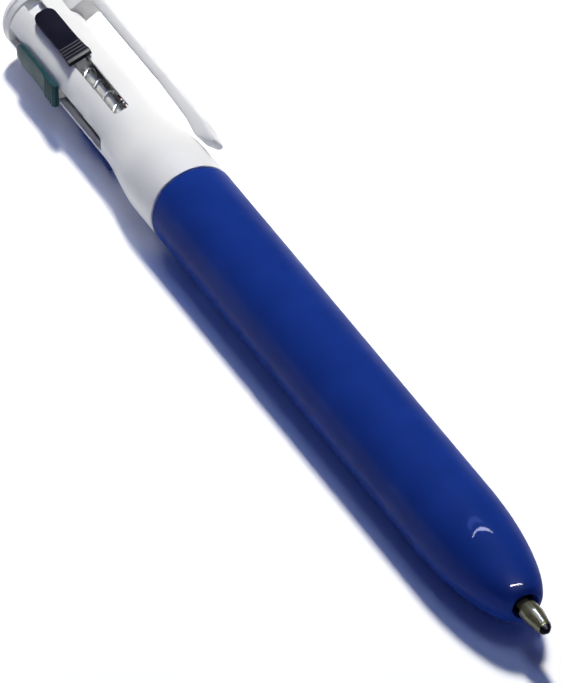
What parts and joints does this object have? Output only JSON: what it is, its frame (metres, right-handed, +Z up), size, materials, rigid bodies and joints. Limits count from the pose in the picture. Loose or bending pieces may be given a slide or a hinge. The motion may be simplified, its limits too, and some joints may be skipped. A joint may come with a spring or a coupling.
{
  "type": "multi pen",
  "caption": "Retractable multi-colour ball pen with thumb sliders, a blue lower barrel with a round nose, a white upper barrel with a pocket clip, and one metal tip out.",
  "frame": {"origin": "on the resting plane, straight under the pen's axis, at the middle of the lower barrel's parallel part", "axes": "+X along the pen towards the writing tip, +Z up from the table, +Y to the side that the pocket clip leans to"},
  "size_m": [0.1432, 0.0134, 0.0123],
  "materials": {
    "barrel_blue": "satin gloss moulded plastic, dark blue",
    "casing_white": "gloss moulded plastic, white",
    "mechanism_natural": "unpainted moulded plastic",
    "slider_blue": "satin moulded plastic",
    "slider_black": "satin moulded plastic",
    "slider_green": "satin moulded plastic",
    "slider_red": "satin moulded plastic",
    "spring_steel": "drawn spring wire",
    "refill_plastic": "translucent extruded plastic",
    "tip_metal": "turned nickel silver",
    "ball_carbide": "polished carbide",
    "ink_blue": "wet ink",
    "ink_black": "wet ink",
    "ink_green": "wet ink",
    "ink_red": "wet ink"
  },
  "bodies": {
    "casing": {"upper_barrel": "casing_white", "end_plug": "casing_white", "guide_plate": "mechanism_natural", "latch_core": "mechanism_natural", "spring_blue": "spring_steel", "spring_black": "spring_steel", "spring_green": "spring_steel", "spring_red": "spring_steel"},
    "lower_barrel": {"lower_barrel": "barrel_blue"},
    "pocket_clip": {"pocket_clip": "casing_white"},
    "slider_blue": {"slider_blue": "slider_blue"},
    "slider_black": {"slider_black": "slider_black"},
    "slider_green": {"slider_green": "slider_green", "refill_tube_green": "refill_plastic", "ink_green": "ink_green", "refill_tip_green": "tip_metal", "ball_green": "ball_carbide"},
    "slider_red": {"slider_red": "slider_red", "refill_tube_red": "refill_plastic", "ink_red": "ink_red", "refill_tip_red": "tip_metal", "ball_red": "ball_carbide"},
    "refill_blue": {"refill_tube_blue": "refill_plastic", "ink_blue": "ink_blue", "refill_tip_blue": "tip_metal", "ball_blue": "ball_carbide"},
    "refill_black": {"refill_tube_black": "refill_plastic", "ink_black": "ink_black", "refill_tip_black": "tip_metal", "ball_black": "ball_carbide"}
  },
  "joints": [
    {"name": "lower_barrel_off", "type": "slide", "parent": "casing", "child": "lower_barrel", "axis": [1, 0, 0], "range_m": [0, 0.1]},
    {"name": "clip_flex", "type": "hinge", "parent": "casing", "child": "pocket_clip", "pos_m": [-0.07737, 0.00347, 0.00864], "axis": [0, -0.6157, 0.788], "range_deg": [0, 5], "stiffness_Nm_per_rad": 0.4},
    {"name": "black_slide", "type": "slide", "parent": "casing", "child": "slider_black", "axis": [1, 0, 0], "range_m": [0, 0.012], "deforming": ["spring_black", "refill_tube_black", "ink_black", "refill_tip_black", "ball_black"]},
    {"name": "blue_slide", "type": "slide", "parent": "casing", "child": "slider_blue", "axis": [1, 0, 0], "range_m": [-0.012, 0], "deforming": ["spring_blue", "refill_tube_blue", "ink_blue", "refill_tip_blue", "ball_blue"]},
    {"name": "green_slide", "type": "slide", "parent": "casing", "child": "slider_green", "axis": [1, 0, 0], "range_m": [0, 0.008], "stiffness_N_per_m": 60, "springref_m": -0.003, "deforming": ["spring_green", "refill_tube_green", "ink_green", "refill_tip_green", "ball_green"]},
    {"name": "red_slide", "type": "slide", "parent": "casing", "child": "slider_red", "axis": [1, 0, 0], "range_m": [0, 0.008], "stiffness_N_per_m": 60, "springref_m": -0.003, "deforming": ["spring_red", "refill_tube_red", "ink_red", "refill_tip_red", "ball_red"]},
    {"name": "black_lean", "type": "hinge", "parent": "slider_black", "child": "refill_black", "pos_m": [-0.03907, -0.0008, 0.00813], "axis": [0, 0.9397, 0.342], "range_deg": [0, 2.1]},
    {"name": "blue_lean", "type": "hinge", "parent": "slider_blue", "child": "refill_blue", "pos_m": [-0.02707, -0.00065, 0.00367], "axis": [0, -0.9613, 0.2756], "range_deg": [-2.1, 0]}
  ],
  "couplings": [
    {"joint": "blue_slide", "follows": "black_slide", "ratio": -1},
    {"joint": "black_lean", "follows": "black_slide", "rad_per_m": 3.0503},
    {"joint": "blue_lean", "follows": "black_slide", "rad_per_m": -3.0503}
  ]
}
